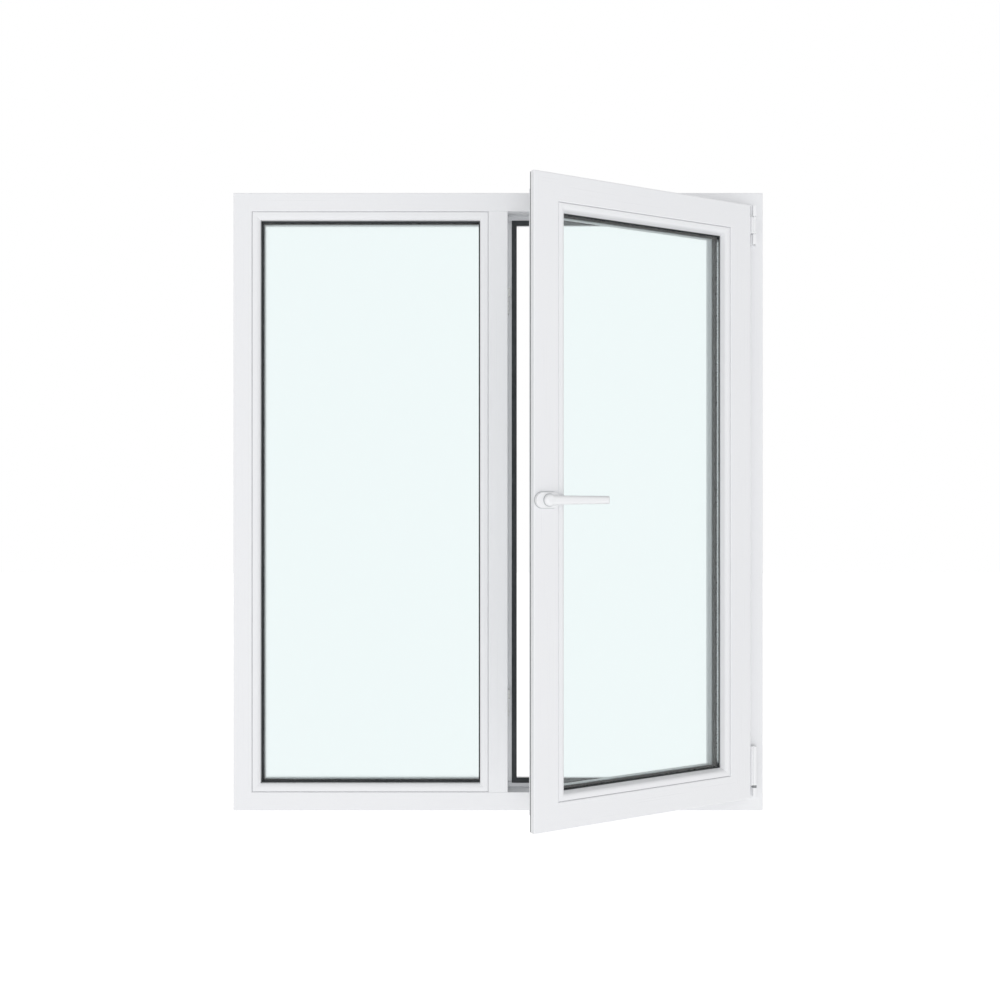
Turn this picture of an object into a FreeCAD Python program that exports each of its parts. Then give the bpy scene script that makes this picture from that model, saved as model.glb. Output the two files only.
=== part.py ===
import FreeCAD, Part
import os
import re
import Sketcher

# Two-light window of white plastic profiles. The left light is fixed. The right light is a
# tilt and turn sash, hinged at the right and standing open into the room.
# X runs to the right as seen from the room, Y runs to the outside and Z runs up. The origin
# is the middle of the sill's flat underside, halfway through the depth of the frame.

Vector = FreeCAD.Vector

# Driving sizes in millimetres, angles in degrees.
SIZES = {
    # Outer frame and mullion
    "window_width": 1200.0,
    "window_height": 1400.0,
    "profile_depth": 70.0,
    "face_width": 42.0,
    "mullion_face": 44.0,
    "mullion_offset": 0.0,
    "leg_reach": 20.0,
    "leg_bevel": 4.0,
    "edge_round": 2.0,
    "tip_round": 1.2,
    # Grooves of the profiles
    "clip_groove_inset": 7.0,
    "clip_groove_width": 9.0,
    "clip_groove_depth": 3.0,
    "bead_groove_inset": 7.0,
    "bead_groove_width": 4.0,
    "bead_groove_depth": 4.0,
    "keeper_groove_inset": 5.0,
    "keeper_groove_width": 9.0,
    "keeper_groove_depth": 4.0,
    "seal_slot_start": 11.0,
    "seal_slot_width": 3.4,
    "seal_slot_depth": 3.2,
    # Glazing bead and sealed unit
    "bead_width": 18.0,
    "bead_thickness": 16.0,
    "bead_step": 1.0,
    "bead_side_gap": 0.4,
    "bead_flat": 12.5,
    "bead_nose": 3.0,
    "bead_edge_round": 2.5,
    "bead_round": 8.0,
    "bead_nose_round": 1.0,
    "bead_fit": 0.3,
    "pane_thickness": 4.0,
    "pane_space": 16.0,
    "glass_gap": 7.0,
    "spacer_width": 15.0,
    "spacer_inset": 0.5,
    "inner_gasket": 3.0,
    "outer_gasket": 3.0,
    "gasket_width": 9.0,
    "gasket_lip": 1.6,
    "outer_gasket_width": 9.0,
    "outer_gasket_setback": 1.5,
    # Opening sash
    "sash_overlap": 8.5,
    "sash_proud": 17.0,
    "sash_stile": 57.0,
    "sash_depth": 70.0,
    "sash_round": 2.8,
    "lip_thickness": 15.0,
    "hardware_air": 12.0,
    "back_clearance": 3.0,
    "open_angle": 26.4,
    "frame_seal_thickness": 4.0,
    "frame_seal_width": 11.5,
    "frame_seal_lip": 1.0,
    "seal_nose": 1.0,
    "sash_seal_width": 8.0,
    "sash_seal_inset": 0.15,
    # Lock rail in the edge of the sash
    "rail_inset": 5.0,
    "rail_width": 16.0,
    "rail_thickness": 2.5,
    "rail_recess": 0.5,
    "cam_radius": 4.5,
    "cam_height": 9.0,
    "cam_stem_radius": 3.0,
    "cam_head": 2.5,
    "cam_end_distance": 210.0,
    "striker_length": 58.0,
    "striker_base": 2.0,
    "striker_lug_length": 20.0,
    "striker_lug_height": 5.0,
    "striker_lug_depth": 7.0,
    "striker_width": 20.0,
    "striker_setback": 3.0,
    "striker_lug_gap": 4.5,
    # Hinges
    "hinge_offset": 10.0,
    "hinge_depth": 16.2,
    "barrel_radius": 4.0,
    "block_round": 1.0,
    "collar_radius": 4.8,
    "collar_height": 4.0,
    "knuckle_gap": 1.5,
    "pin_radius": 2.4,
    "top_hinge_drop": 34.0,
    "top_hinge_height": 88.0,
    "top_knuckle_height": 37.0,
    "top_lower_height": 23.0,
    "bottom_hinge_height": 87.0,
    "bottom_hinge_gap": 6.0,
    "pivot_cap_height": 19.5,
    "pivot_cap_radius": 5.4,
    "bottom_hinge_rise": 38.0,
    "leaf_thickness": 3.0,
    "leaf_depth": 7.0,
    "bearing_width": 13.0,
    "bearing_thickness": 3.0,
    "bearing_reach": 7.5,
    "bearing_setback": 2.0,
    "stay_cam_gap": 22.0,
    "stay_thickness": 3.0,
    "stay_width": 14.0,
    # Handle
    "handle_height": 704.0,
    "handle_axis": 29.0,
    "plate_length": 56.0,
    "plate_width": 32.0,
    "plate_thickness": 10.0,
    "plate_chamfer": 1.2,
    "neck_radius": 9.5,
    "neck_height": 2.0,
    "hub_radius": 12.0,
    "lever_reach": 139.0,
    "lever_width": 19.0,
    "lever_tip_width": 16.5,
    "lever_thickness": 10.0,
    "lever_round": 7.0,
    "lever_tip_round": 2.0,
    # Drainage caps on the outside of the sill
    "cap_length": 42.0,
    "cap_height": 13.0,
    "cap_thickness": 4.0,
    "cap_end_distance": 190.0,
    "cap_rise": 22.0,
}

doc = FreeCAD.newDocument("tilt_and_turn_window")
sheet = doc.addObject("Spreadsheet::Sheet", "Sizes")
for row, (alias, number) in enumerate(SIZES.items(), start=1):
    sheet.set(f"A{row}", alias)
    sheet.set(f"B{row}", str(number))
    sheet.setAlias(f"B{row}", alias)
doc.recompute()


def linked(text):
    """An expression whose size names point at the sheet."""
    return re.sub(r"[a-z_]+", lambda word: "Sizes." + word[0] if word[0] in SIZES else word[0], text)


def value(text):
    """What an expression in size names comes to, as a number."""
    return float(sheet.evalExpression(linked(text)))


# Places that several pieces share, as expressions in the sizes above.
FRAME_FRONT = "(-profile_depth / 2)"
FRAME_TIP = "(face_width + leg_reach)"
BEAD_BACK = "bead_thickness"
UNIT_FRONT = f"({BEAD_BACK} + inner_gasket)"
UNIT_BACK = f"({UNIT_FRONT} + 2 * pane_thickness + pane_space)"
LEG_FRONT = f"({UNIT_BACK} + outer_gasket)"

FIXED_LEFT = "(-window_width / 2 + face_width)"
FIXED_RIGHT = "(mullion_offset - mullion_face / 2)"
OPENING_LEFT = "(mullion_offset + mullion_face / 2)"
OPENING_RIGHT = "(window_width / 2 - face_width)"
LIGHT_BOTTOM = "face_width"
LIGHT_TOP = "(window_height - face_width)"

SASH_FRONT = f"({FRAME_FRONT} - sash_proud)"
SASH_LEFT = f"({OPENING_LEFT} - sash_overlap)"
SASH_RIGHT = f"({OPENING_RIGHT} + sash_overlap)"
SASH_BOTTOM = f"({LIGHT_BOTTOM} - sash_overlap)"
SASH_TOP = f"({LIGHT_TOP} + sash_overlap)"
SASH_EDGE = "(sash_overlap + hardware_air)"
RAIL_START = "(lip_thickness + rail_inset)"

HINGE_X = f"({SASH_RIGHT} + hinge_offset)"
HINGE_Y = f"({FRAME_FRONT} - hinge_depth)"
SWING = (
    "placement(vector(0; 0; 0); rotation(vector(0; 0; 1); open_angle); "
    f"vector({HINGE_X}; {HINGE_Y}; 0)) * "
)
CLOSED = ""
SAME_PLACE = 0.001

# Turns about Y that bring a member drawn as a left upright to each side of its rectangle.
SIDE_TURNS = {"left": 0, "top": 90, "right": 180, "bottom": 270}


def at(x, y, z, turn=0):
    return f"placement(vector({x}; {y}; {z}); rotation(vector(0; 1; 0); {turn}))"


def middle(low, high):
    return f"(({low} + {high}) / 2)"


def span(low, high):
    return f"({high} - {low})"


def new_body(label, placement):
    body = doc.addObject("PartDesign::Body", label)
    body.Label = label
    body.setExpression("Placement", linked(placement))
    return body


def add_sketch(body, name, role, loops):
    """A sketch of closed outlines, each a list of corners whose places are expressions."""
    sketch = body.newObject("Sketcher::SketchObject", name)
    plane = next(item for item in body.Origin.OriginFeatures if item.Role == role)
    sketch.AttachmentSupport = [(plane, "")]
    sketch.MapMode = "FlatFace"
    for corners in loops:
        places = [Vector(value(across), value(up), 0) for across, up in corners]
        count = len(corners)
        first = sketch.GeometryCount
        for index in range(count):
            sketch.addGeometry(Part.LineSegment(places[index], places[(index + 1) % count]), False)
        for index in range(count):
            follower = first + (index + 1) % count
            sketch.addConstraint(Sketcher.Constraint("Coincident", first + index, 2, follower, 1))
        for index, (across, up) in enumerate(corners):
            for kind, axis, text, number in (
                ("DistanceX", -2, across, places[index].x),
                ("DistanceY", -1, up, places[index].y),
            ):
                if text == "0":
                    sketch.addConstraint(Sketcher.Constraint("PointOnObject", first + index, 1, axis))
                    continue
                mark = sketch.addConstraint(Sketcher.Constraint(kind, -1, 1, first + index, 1, number))
                sketch.setExpression(f"Constraints[{mark}]", linked(text))
    return sketch


def add_pad(body, sketch, length):
    pad = body.newObject("PartDesign::Pad", "Pad")
    pad.Profile = sketch
    pad.SideType = "Symmetric"
    pad.setExpression("Length", linked(length))
    return pad


def add_pocket(body, sketch, length):
    pocket = body.newObject("PartDesign::Pocket", "Pocket")
    pocket.Profile = sketch
    pocket.SideType = "Symmetric"
    pocket.setExpression("Length", linked(length))
    return pocket


def round_edges(body, corners, radius):
    """Rounds the long edges that stand on the named corners of the section."""
    doc.recompute()
    solid = body.Tip
    places = [Vector(value(across), value(up), 0) for across, up in corners]
    names = []
    for number, edge in enumerate(solid.Shape.Edges, start=1):
        flat = [Vector(vertex.X, vertex.Y, 0) for vertex in edge.Vertexes]
        if any(all(spot.distanceToPoint(place) < SAME_PLACE for spot in flat) for place in places):
            names.append(f"Edge{number}")
    fillet = body.newObject("PartDesign::Fillet", "Round")
    fillet.Base = (solid, names)
    fillet.setExpression("Radius", linked(radius))


def mitred_member(label, section, rounds, length, reach, placement):
    """A profile along Z whose two ends are cut at 45 degrees, full length where X is zero."""
    body = new_body(label, placement)
    outline = add_sketch(body, "Section", "XY_Plane", [section])
    add_pad(body, outline, f"{length} + 2 * {reach}")
    for radius, corners in rounds.items():
        round_edges(body, corners, radius)
    upper = [
        (f"-{reach}", f"{length} / 2 + {reach}"),
        (f"2 * {reach}", f"{length} / 2 - 2 * {reach}"),
        (f"2 * {reach}", f"{length} / 2 + {reach}"),
    ]
    lower = [(across, f"-({up})") for across, up in upper]
    ends = add_sketch(body, "Mitres", "XZ_Plane", [upper, lower])
    add_pocket(body, ends, "4 * (profile_depth + sash_depth)")
    return body


def mitred_set(name, section, rounds, reach, left, right, bottom, top, front, swing=CLOSED):
    """Four mitred members round a rectangle, each a piece of its own."""
    places = {
        "left": (left, middle(bottom, top), span(bottom, top)),
        "right": (right, middle(bottom, top), span(bottom, top)),
        "top": (middle(left, right), top, span(left, right)),
        "bottom": (middle(left, right), bottom, span(left, right)),
    }
    for side, (x, z, length) in places.items():
        label = name[side]
        mitred_member(label, section, rounds, length, reach, swing + at(x, front, z, SIDE_TURNS[side]))


def swept_ring(label, section, left, right, bottom, top, front, swing=CLOSED):
    """A closed strip with mitred corners. Its section is given inward from the rectangle."""
    body = new_body(label, swing + at(middle(left, right), front, middle(bottom, top)))
    half_width = f"{span(left, right)} / 2"
    half_height = f"{span(bottom, top)} / 2"
    corners = [
        (f"-{half_width}", f"-{half_height}"),
        (half_width, f"-{half_height}"),
        (half_width, half_height),
        (f"-{half_width}", half_height),
    ]
    path = add_sketch(body, "Path", "XZ_Plane", [corners])
    outline = add_sketch(
        body, "Section", "XY_Plane", [[(f"{half_width} - ({inward})", deep) for inward, deep in section]]
    )
    pipe = body.newObject("PartDesign::AdditivePipe", "Sweep")
    pipe.Profile = outline
    pipe.Spine = path
    pipe.Transition = "Right corner"
    return body


def flat_plate(label, width, height, thickness, x, y, z, swing=CLOSED):
    """A flat rectangular sheet, centred on its place."""
    body = new_body(label, swing + at(x, y, z))
    corners = [
        (f"-{width} / 2", f"-{height} / 2"),
        (f"{width} / 2", f"-{height} / 2"),
        (f"{width} / 2", f"{height} / 2"),
        (f"-{width} / 2", f"{height} / 2"),
    ]
    add_pad(body, add_sketch(body, "Outline", "XZ_Plane", [corners]), thickness)
    return body


def shaped(label, shape, swing=CLOSED):
    """A piece made of turned, lofted or repeated solids, placed in the closed window."""
    feature = doc.addObject("Part::Feature", label)
    feature.Label = label
    feature.Shape = shape
    if swing:
        feature.setExpression("Placement", linked(swing + at("0", "0", "0")))
    return feature


# Section of the frame profile: X inward from the outer edge, Y outward from the room face.
BEAD_GROOVE_END = "(bead_groove_inset + bead_groove_width)"
KEEPER_END = f"({LEG_FRONT} - keeper_groove_inset)"
KEEPER_START = f"({KEEPER_END} - keeper_groove_width)"
SLOT_END = "(seal_slot_start + seal_slot_width)"


def rebate_side(edge, depth):
    """Corners from the room edge, down the rebate and out along the glazing leg."""
    bead_floor = f"{edge} - bead_groove_depth"
    keeper_floor = f"{edge} - keeper_groove_depth"
    slot_start = f"{edge} + seal_slot_start"
    slot_end = f"{edge} + {SLOT_END}"
    return [
        (edge, "0"),
        (edge, "bead_groove_inset"),
        (bead_floor, "bead_groove_inset"),
        (bead_floor, BEAD_GROOVE_END),
        (edge, BEAD_GROOVE_END),
        (edge, KEEPER_START),
        (keeper_floor, KEEPER_START),
        (keeper_floor, KEEPER_END),
        (edge, KEEPER_END),
        (edge, LEG_FRONT),
        (slot_start, LEG_FRONT),
        (slot_start, f"{LEG_FRONT} + seal_slot_depth"),
        (slot_end, f"{LEG_FRONT} + seal_slot_depth"),
        (slot_end, LEG_FRONT),
        (f"{edge} + leg_reach", LEG_FRONT),
        (f"{edge} + leg_reach", middle(LEG_FRONT, depth)),
        (f"{edge} + leg_reach - leg_bevel", depth),
    ]


def clip_groove(start):
    """Corners of a groove in the outer edge, from the outside towards the room."""
    end = f"({start} + clip_groove_width)"
    return [
        ("0", end),
        ("clip_groove_depth", end),
        ("clip_groove_depth", start),
        ("0", start),
    ]


FAR_GROOVE = "(profile_depth - clip_groove_inset - clip_groove_width)"
frame_section = (
    rebate_side("face_width", "profile_depth")
    + [("0", "profile_depth")]
    + clip_groove(FAR_GROOVE)
    + clip_groove("clip_groove_inset")
    + [("0", "0")]
)
frame_rounds = {
    "edge_round": [("0", "0"), ("face_width", "0")],
    "tip_round": [(FRAME_TIP, LEG_FRONT)],
}
frame_names = {
    "left": "frame_jamb_left",
    "right": "frame_jamb_right",
    "top": "frame_head",
    "bottom": "frame_sill",
}
mitred_set(
    frame_names, frame_section, frame_rounds, FRAME_TIP,
    "(-window_width / 2)", "(window_width / 2)", "0", "window_height", FRAME_FRONT,
)

# Where the mullion meets the head and the sill, the seals' feet cross their legs in short
# channels as deep as the slot.
crossings = [
    (f"({FIXED_RIGHT} - {SLOT_END})", f"({FIXED_RIGHT} - seal_slot_start)"),
    (f"({OPENING_LEFT} + seal_slot_start)", f"({OPENING_LEFT} + {SLOT_END})"),
]
for label, direction in (("frame_head", ""), ("frame_sill", "-")):
    channels = [
        [
            ("face_width + seal_slot_start", f"{direction}{start}"),
            (f"{FRAME_TIP} + leg_reach", f"{direction}{start}"),
            (f"{FRAME_TIP} + leg_reach", f"{direction}{end}"),
            ("face_width + seal_slot_start", f"{direction}{end}"),
        ]
        for start, end in crossings
    ]
    member = doc.getObject(label)
    outline = add_sketch(member, "Channels", "XZ_Plane", channels)
    add_pocket(member, outline, f"2 * ({LEG_FRONT} + seal_slot_depth)")

# The mullion is a T: a narrow face with a glazing leg to each side. Its ends are milled to fit
# round the legs of the head and the sill.
right_half = rebate_side("(mullion_face / 2)", "profile_depth")
left_half = [(f"-({across})", up) for across, up in reversed(right_half)]
mullion = new_body("mullion", at("mullion_offset", FRAME_FRONT, middle(LIGHT_BOTTOM, LIGHT_TOP)))
mullion_outline = add_sketch(mullion, "Section", "XY_Plane", [left_half + right_half])
add_pad(mullion, mullion_outline, span(LIGHT_BOTTOM, LIGHT_TOP))
mullion_tip = "(mullion_face / 2 + leg_reach)"
round_edges(mullion, [("mullion_face / 2", "0"), ("-mullion_face / 2", "0")], "edge_round")
round_edges(mullion, [(mullion_tip, LEG_FRONT), (f"-{mullion_tip}", LEG_FRONT)], "tip_round")
half_clear = f"{span(LIGHT_BOTTOM, LIGHT_TOP)} / 2"
upper_notch = [
    (LEG_FRONT, f"{half_clear} - leg_reach"),
    ("2 * profile_depth", f"{half_clear} - leg_reach"),
    ("2 * profile_depth", f"{half_clear} + leg_reach"),
    (LEG_FRONT, f"{half_clear} + leg_reach"),
]
lower_notch = [(across, f"-({up})") for across, up in upper_notch]
notches = add_sketch(mullion, "Notches", "YZ_Plane", [upper_notch, lower_notch])
add_pocket(mullion, notches, "4 * mullion_face")

# Section of the sash profile: X inward from the edge of the overlap lip, Y from its room face.
SHOULDER = f"(sash_proud + {LEG_FRONT} - frame_seal_thickness)"
STEP = "(sash_overlap + leg_reach + back_clearance)"
RAIL_FLOOR = f"({SASH_EDGE} + rail_thickness + rail_recess)"
sash_section = rebate_side("sash_stile", "sash_depth") + [
    (STEP, "sash_depth"),
    (STEP, SHOULDER),
    (SASH_EDGE, SHOULDER),
    (SASH_EDGE, f"{RAIL_START} + rail_width"),
    (RAIL_FLOOR, f"{RAIL_START} + rail_width"),
    (RAIL_FLOOR, RAIL_START),
    (SASH_EDGE, RAIL_START),
    (SASH_EDGE, "lip_thickness"),
    ("0", "lip_thickness"),
    ("0", "0"),
]
sash_rounds = {
    "sash_round": [("0", "0")],
    "edge_round": [("sash_stile", "0")],
    "tip_round": [("0", "lip_thickness"), ("sash_stile + leg_reach", LEG_FRONT)],
}
sash_names = {
    "left": "sash_handle_stile",
    "right": "sash_hinge_stile",
    "top": "sash_top_rail",
    "bottom": "sash_bottom_rail",
}
mitred_set(
    sash_names, sash_section, sash_rounds, "(sash_stile + leg_reach)",
    SASH_LEFT, SASH_RIGHT, SASH_BOTTOM, SASH_TOP, SASH_FRONT, SWING,
)

# Snap-in bead: a flat face beside the profile, a curved slope down to a nose by the glass, and
# a foot in the groove of the rebate. Above the foot its side stands a little off the profile.
NOSE_FRONT = f"({BEAD_BACK} - bead_nose)"
bead_section = [
    ("0", BEAD_BACK),
    ("0", f"{BEAD_GROOVE_END} - bead_fit"),
    ("-(bead_groove_depth - bead_fit)", f"{BEAD_GROOVE_END} - bead_fit"),
    ("-(bead_groove_depth - bead_fit)", "bead_groove_inset + bead_fit"),
    ("bead_side_gap", "bead_groove_inset + bead_fit"),
    ("bead_side_gap", "bead_step"),
    ("bead_flat", "bead_step"),
    ("bead_width", NOSE_FRONT),
    ("bead_width", BEAD_BACK),
]
bead_rounds = {
    "bead_round": [("bead_flat", "bead_step")],
    "bead_edge_round": [("bead_side_gap", "bead_step")],
    "bead_nose_round": [("bead_width", NOSE_FRONT)],
}

# Gaskets: the inner one is clamped by the bead, the outer one has a foot in the leg's slot.
GASKET_TIP = "(bead_width + gasket_lip)"
inner_gasket_section = [
    ("bead_width - gasket_width", BEAD_BACK),
    ("bead_width", BEAD_BACK),
    (GASKET_TIP, f"{BEAD_BACK} + inner_gasket / 3"),
    (GASKET_TIP, UNIT_FRONT),
    ("bead_width - gasket_width", UNIT_FRONT),
]
SLOT_FLOOR = f"({LEG_FRONT} + seal_slot_depth - bead_fit)"


def footed_strip(front, tip, width):
    """A strip on the leg with a foot that fills the slot but for a small fit."""
    return [
        (f"{tip} - {width}", front),
        (f"{tip} - seal_nose", front),
        (tip, f"({front} + {LEG_FRONT}) / 2"),
        (tip, LEG_FRONT),
        (f"{SLOT_END} - bead_fit", LEG_FRONT),
        (f"{SLOT_END} - bead_fit", SLOT_FLOOR),
        ("seal_slot_start + bead_fit", SLOT_FLOOR),
        ("seal_slot_start + bead_fit", LEG_FRONT),
        (f"{tip} - {width}", LEG_FRONT),
    ]


outer_gasket_section = footed_strip(
    UNIT_BACK, "(leg_reach - outer_gasket_setback)", "outer_gasket_width"
)
frame_seal_section = footed_strip(
    f"({LEG_FRONT} - frame_seal_thickness)", "(leg_reach + frame_seal_lip)", "frame_seal_width"
)


def glaze(name, left, right, bottom, top, front, swing=CLOSED):
    """Beads, gaskets and the sealed double pane of one light."""
    sides = ("top", "bottom", "left", "right")
    beads = {side: f"{name}_bead_{side}" for side in sides}
    rectangle = (left, right, bottom, top)
    mitred_set(beads, bead_section, bead_rounds, "bead_width", *rectangle, front, swing)
    swept_ring(f"{name}_gasket_inner", inner_gasket_section, *rectangle, front, swing)
    swept_ring(f"{name}_gasket_outer", outer_gasket_section, *rectangle, front, swing)
    room_side = f"({UNIT_FRONT} + pane_thickness)"
    far_side = f"({UNIT_BACK} - pane_thickness)"
    spacer_section = [
        ("glass_gap + spacer_inset", room_side),
        ("glass_gap + spacer_inset + spacer_width", room_side),
        ("glass_gap + spacer_inset + spacer_width", far_side),
        ("glass_gap + spacer_inset", far_side),
    ]
    swept_ring(f"{name}_spacer", spacer_section, *rectangle, front, swing)
    width = f"({span(left, right)} - 2 * glass_gap)"
    height = f"({span(bottom, top)} - 2 * glass_gap)"
    for pane, depth in (
        ("inner", f"({UNIT_FRONT} + pane_thickness / 2)"),
        ("outer", f"({UNIT_BACK} - pane_thickness / 2)"),
    ):
        flat_plate(
            f"{name}_glass_{pane}", width, height, "pane_thickness",
            middle(left, right), f"({front} + {depth})", middle(bottom, top), swing,
        )


glaze("fixed", FIXED_LEFT, FIXED_RIGHT, LIGHT_BOTTOM, LIGHT_TOP, FRAME_FRONT)
glaze(
    "sash", f"({SASH_LEFT} + sash_stile)", f"({SASH_RIGHT} - sash_stile)",
    f"({SASH_BOTTOM} + sash_stile)", f"({SASH_TOP} - sash_stile)", SASH_FRONT, SWING,
)

# The frame's seal lies on the leg round the opening light, the sash's seal behind its lip.
swept_ring(
    "frame_seal", frame_seal_section,
    OPENING_LEFT, OPENING_RIGHT, LIGHT_BOTTOM, LIGHT_TOP, FRAME_FRONT,
)
SASH_SEAL_END = "(sash_seal_inset + sash_seal_width)"
sash_seal_section = [
    ("sash_seal_inset", "lip_thickness"),
    (SASH_SEAL_END, "lip_thickness"),
    (SASH_SEAL_END, "(lip_thickness + sash_proud) / 2"),
    ("(sash_seal_inset + sash_seal_width / 2)", "sash_proud"),
    ("sash_seal_inset", "sash_proud"),
]
swept_ring(
    "sash_seal", sash_seal_section, SASH_LEFT, SASH_RIGHT, SASH_BOTTOM, SASH_TOP, SASH_FRONT, SWING,
)

# Lock rails: flat steel strips let into the four edges of the sash.
RAIL_PLACE = f"({SASH_EDGE} + rail_recess + rail_thickness / 2)"
RAIL_Y = f"({SASH_FRONT} + {RAIL_START} + rail_width / 2)"
UPRIGHT_RAIL = f"({span(SASH_BOTTOM, SASH_TOP)} - 2 * {RAIL_FLOOR})"
LEVEL_RAIL = f"({span(SASH_LEFT, SASH_RIGHT)} - 2 * {RAIL_FLOOR})"
MIDDLE_X = middle(SASH_LEFT, SASH_RIGHT)
MIDDLE_Z = middle(SASH_BOTTOM, SASH_TOP)
for label, width, height, x, z in (
    ("lock_rail_handle_side", "rail_thickness", UPRIGHT_RAIL, f"({SASH_LEFT} + {RAIL_PLACE})", MIDDLE_Z),
    ("lock_rail_hinge_side", "rail_thickness", UPRIGHT_RAIL, f"({SASH_RIGHT} - {RAIL_PLACE})", MIDDLE_Z),
    ("lock_rail_top", LEVEL_RAIL, "rail_thickness", MIDDLE_X, f"({SASH_TOP} - {RAIL_PLACE})"),
    ("lock_rail_bottom", LEVEL_RAIL, "rail_thickness", MIDDLE_X, f"({SASH_BOTTOM} + {RAIL_PLACE})"),
):
    flat_plate(label, width, height, "rail_width", x, RAIL_Y, z, SWING)


def point(x, y, z):
    return Vector(value(x), value(y), value(z))


def post(radius, height, base, direction):
    return Part.makeCylinder(value(radius), value(height), base, direction)


def block(x_low, x_high, y_low, y_high, z_low, z_high):
    """A block between two corners given as numbers."""
    size = (x_high - x_low, y_high - y_low, z_high - z_low)
    return Part.makeBox(*size, Vector(x_low, y_low, z_low))


# Locking cams stand on the rails: a stem and a wider head. Each side says where a cam stands
# and which way it points.
rail_face = value(f"{SASH_EDGE} + rail_recess")
cam_y = value(RAIL_Y)
sash_box = [value(text) for text in (SASH_LEFT, SASH_RIGHT, SASH_BOTTOM, SASH_TOP)]
sash_left, sash_right, sash_bottom, sash_top = sash_box
cam_end = value("cam_end_distance")
cam_places = [
    (Vector(sash_left + rail_face, cam_y, sash_bottom + cam_end), Vector(-1, 0, 0)),
    (Vector(sash_left + rail_face, cam_y, sash_top - cam_end), Vector(-1, 0, 0)),
    (Vector(sash_left + cam_end, cam_y, sash_top - rail_face), Vector(0, 0, 1)),
    (Vector(sash_left + cam_end, cam_y, sash_bottom + rail_face), Vector(0, 0, -1)),
    (Vector(sash_right - rail_face, cam_y, value(MIDDLE_Z)), Vector(1, 0, 0)),
]


def cam(place, direction):
    stem = post("cam_stem_radius", "cam_height - cam_head", place, direction)
    top = place + direction * value("cam_height - cam_head")
    return stem.fuse(post("cam_radius", "cam_head", top, direction)).removeSplitter()


shaped("locking_cams", Part.makeCompound([cam(*each) for each in cam_places]), SWING)

# Strikers on the frame: a base plate with a lug that the cam slides behind. The lug stands
# beside the place where the cam enters.
rebate_edges = [value(text) for text in (OPENING_LEFT, OPENING_RIGHT, LIGHT_BOTTOM, LIGHT_TOP)]
rebate_left, rebate_right, rebate_bottom, rebate_top = rebate_edges
striker_y = value(f"{FRAME_FRONT} + striker_setback")
lug_shift = value("cam_radius + striker_lug_gap")


def striker(place, direction):
    """A striker whose base lies on the rebate floor at the foot of one cam."""
    along = Vector(0, 0, 1) if direction.x else Vector(1, 0, 0)
    if direction.x < 0:
        floor = Vector(rebate_left, striker_y, place.z)
    elif direction.x > 0:
        floor = Vector(rebate_right, striker_y, place.z)
    elif direction.z > 0:
        floor = Vector(place.x, striker_y, rebate_top)
    else:
        floor = Vector(place.x, striker_y, rebate_bottom)
    base_half = value("striker_length") / 2

    def slab(start, length, depth, height):
        corner = floor + along * start
        far = corner + along * length + Vector(0, depth, 0) - direction * height
        lows = [min(first, second) for first, second in zip(corner, far)]
        highs = [max(first, second) for first, second in zip(corner, far)]
        return block(lows[0], highs[0], lows[1], highs[1], lows[2], highs[2])

    base = slab(-base_half, 2 * base_half, value("striker_width"), value("striker_base"))
    lug = slab(
        lug_shift, value("striker_lug_length"), value("striker_lug_depth"), value("striker_lug_height")
    )
    return base.fuse(lug).removeSplitter()


shaped("striker_plates", Part.makeCompound([striker(*each) for each in cam_places]))

# Hinges turn about one upright line beside the sash. Barrels and collars are turned pieces.
hinge_line = point(HINGE_X, HINGE_Y, "0")
UP = Vector(0, 0, 1)


def round_bar(radius, low, high):
    """A cylinder on the hinge line between two heights."""
    return Part.makeCylinder(value(radius), high - low, hinge_line + UP * low, UP)


def knuckle(radius, low, high):
    """A barrel with a wider collar at each end."""
    collar = value("collar_height")
    lower_collar = round_bar("collar_radius", low, low + collar)
    upper_collar = round_bar("collar_radius", high - collar, high)
    return round_bar(radius, low, high).fuse(lower_collar).fuse(upper_collar)


def leaf(low, high):
    """A web from the hinge line to the edge of the sash, and a plate along that edge."""
    half_web = value("leaf_thickness / 2")
    half_plate = value("leaf_depth / 2")
    web = block(sash_right, hinge_line.x, hinge_line.y - half_web, hinge_line.y + half_web, low, high)
    edge_plate = block(
        sash_right, sash_right + value("leaf_thickness"),
        hinge_line.y - half_plate, value(f"{SASH_FRONT} + lip_thickness"), low, high,
    )
    return web.fuse(edge_plate)


def bearing(low, high, web_low, web_high, web_half):
    """A plate on the frame's room face with a thick web out to the hinge line."""
    face = value(FRAME_FRONT)
    half = value("bearing_width / 2")
    plate_front = face - value("bearing_thickness")
    plate = block(hinge_line.x - half, hinge_line.x + half, plate_front, face, low, high)
    web_left = hinge_line.x - value("bearing_reach")
    web_front = hinge_line.y + value("bearing_setback")
    web = block(web_left, hinge_line.x + web_half, web_front, face, web_low, web_high)
    return plate.fuse(web)


def bearing_block(low, high):
    """The squared end of a bearing round its pin, with rounded upright edges."""
    half = value("barrel_radius")
    solid = block(
        hinge_line.x - half, hinge_line.x + half, hinge_line.y - half, hinge_line.y + half, low, high
    )
    upright = [edge for edge in solid.Edges if edge.BoundBox.ZLength > high - low - SAME_PLACE]
    return solid.makeFillet(value("block_round"), upright)


gap = value("knuckle_gap")
top_high = value("window_height - top_hinge_drop")
top_low = top_high - value("top_hinge_height")
lower_high = top_low + value("top_lower_height")
knuckle_low = lower_high + gap
knuckle_high = knuckle_low + value("top_knuckle_height")
upper_low = knuckle_high + gap

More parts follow.
